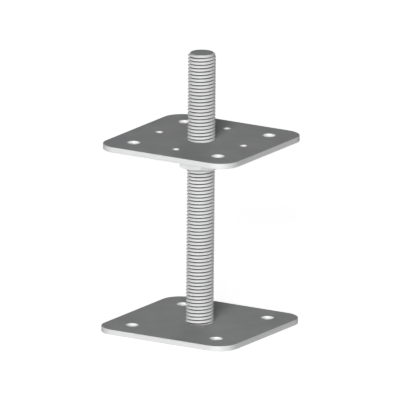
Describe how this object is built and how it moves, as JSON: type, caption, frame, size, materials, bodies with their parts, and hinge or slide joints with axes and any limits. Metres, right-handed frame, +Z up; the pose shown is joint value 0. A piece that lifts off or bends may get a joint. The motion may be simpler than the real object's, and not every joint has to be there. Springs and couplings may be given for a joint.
{
  "type": "post base",
  "caption": "Adjustable post base: a square base plate with a welded threaded rod, and a hexagon nut that carries a second square plate for the foot of a timber post.",
  "frame": {"origin": "middle of the base plate's underside", "axes": "+Z up along the rod, +X and +Y along the sides of the plates"},
  "size_m": [0.11, 0.11, 0.2015],
  "materials": {
    "plate_steel": "zinc-plated sheet steel, satin",
    "rod_steel": "zinc-plated, rolled thread",
    "nut_steel": "zinc-plated, cold formed",
    "weld_steel": "ground weld under the zinc"
  },
  "bodies": {
    "base": {"base_plate": "plate_steel", "threaded_rod": "rod_steel", "base_weld": "weld_steel"},
    "top_plate": {"top_plate": "plate_steel"},
    "nut": {"adjusting_nut": "nut_steel"}
  },
  "joints": [
    {"name": "plate_height", "type": "slide", "parent": "base", "child": "top_plate", "axis": [0, 0, 1], "range_m": [-0.1125, 0.06]},
    {"name": "nut_turn", "type": "hinge", "parent": "top_plate", "child": "nut", "pos_m": [0, 0, 0.126], "axis": [0, 0, 1], "range_deg": [-16201, 8641]}
  ],
  "couplings": [
    {"joint": "nut_turn", "follows": "plate_height", "rad_per_m": 2513.3}
  ]
}
